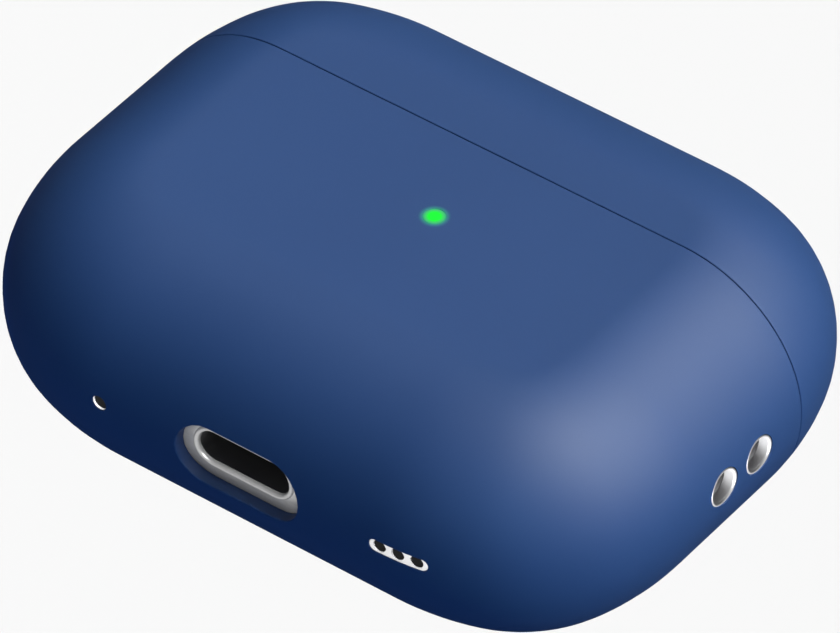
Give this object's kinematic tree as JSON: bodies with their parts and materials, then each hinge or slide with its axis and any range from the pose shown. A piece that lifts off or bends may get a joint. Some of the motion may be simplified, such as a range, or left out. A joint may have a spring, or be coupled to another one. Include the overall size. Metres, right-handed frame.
{
  "type": "wireless earbuds charging case",
  "caption": "Pebble-shaped charging case for wireless earbuds in a blue silicone sleeve, with a hinged lid, charging port, status light and lanyard eyelets.",
  "frame": {"origin": "centre of the sleeve's flat back, on which the case lies", "axes": "+X to the case's right side with the lanyard eyelets, +Y towards the lid, +Z out of the front face"},
  "size_m": [0.063, 0.0476, 0.0233],
  "materials": {
    "silicone_blue": "satin",
    "white_gloss": "gloss",
    "white_satin": "satin",
    "polished_steel": "polished",
    "satin_steel": "satin",
    "black_plastic": "matte",
    "board_green": "satin",
    "chip_black": "matte",
    "flex_amber": "satin",
    "gold": "polished",
    "copper": "satin",
    "ferrite_grey": "matte",
    "battery_foil": "satin",
    "magnet_nickel": "satin",
    "light_green": "clear",
    "clear_pipe": "clear",
    "tape_white": "matte"
  },
  "bodies": {
    "base": {"sleeve_base": "silicone_blue", "light_window": "light_green", "eyelet_rings": "polished_steel", "case_shell": "white_gloss", "cradle": "white_satin", "hinge_base_leaf": "satin_steel", "hinge_pin": "polished_steel", "hinge_base_rivets": "polished_steel", "port_bezel": "satin_steel", "port_shell": "satin_steel", "port_core": "black_plastic", "port_contacts": "gold", "port_board": "board_green", "port_flex": "flex_amber", "speaker_grille": "white_gloss", "speaker_mesh": "black_plastic", "speaker_module": "black_plastic", "mic_tube": "white_gloss", "mic_mesh": "black_plastic", "microphone": "satin_steel", "status_led": "tape_white", "light_pipe": "clear_pipe", "main_board": "board_green", "board_chips": "chip_black", "board_screws": "polished_steel", "battery": "battery_foil", "battery_flex": "flex_amber", "charging_coil": "copper", "ferrite_sheet": "ferrite_grey", "hall_sensor": "chip_black", "base_magnet": "magnet_nickel", "bud_magnets": "magnet_nickel", "tact_switch": "satin_steel", "button_board": "board_green", "contact_carrier_left": "black_plastic", "contact_carrier_right": "black_plastic", "contact_flex": "flex_amber", "lanyard_anchor": "polished_steel"},
    "lid": {"sleeve_lid": "silicone_blue", "lid_tape": "tape_white", "lid_shell": "white_gloss", "lid_liner": "white_satin", "hinge_lid_leaf": "satin_steel", "hinge_lid_rivets": "polished_steel", "lid_magnet": "magnet_nickel"},
    "button": {"setup_button": "white_gloss", "switch_plunger": "black_plastic"},
    "contact_left_outer": {"contact_pin_left_outer": "gold", "contact_spring_left_outer": "polished_steel"},
    "contact_left_inner": {"contact_pin_left_inner": "gold", "contact_spring_left_inner": "polished_steel"},
    "contact_right_inner": {"contact_pin_right_inner": "gold", "contact_spring_right_inner": "polished_steel"},
    "contact_right_outer": {"contact_pin_right_outer": "gold", "contact_spring_right_outer": "polished_steel"}
  },
  "joints": [
    {"name": "lid_hinge", "type": "hinge", "parent": "base", "child": "lid", "pos_m": [0, 0.00807, 0.002], "axis": [-1, 0, 0], "range_deg": [0, 100]},
    {"name": "button_press", "type": "slide", "parent": "base", "child": "button", "axis": [0, 0, 1], "range_m": [0, 0.0003], "stiffness_N_per_m": 3000, "springref_m": -0.0002},
    {"name": "contact_left_outer_press", "type": "slide", "parent": "base", "child": "contact_left_outer", "axis": [0, -1, 0], "range_m": [0, 0.0005], "stiffness_N_per_m": 600, "springref_m": -0.0003},
    {"name": "contact_left_inner_press", "type": "slide", "parent": "base", "child": "contact_left_inner", "axis": [0, -1, 0], "range_m": [0, 0.0005], "stiffness_N_per_m": 600, "springref_m": -0.0003},
    {"name": "contact_right_inner_press", "type": "slide", "parent": "base", "child": "contact_right_inner", "axis": [0, -1, 0], "range_m": [0, 0.0005], "stiffness_N_per_m": 600, "springref_m": -0.0003},
    {"name": "contact_right_outer_press", "type": "slide", "parent": "base", "child": "contact_right_outer", "axis": [0, -1, 0], "range_m": [0, 0.0005], "stiffness_N_per_m": 600, "springref_m": -0.0003}
  ]
}
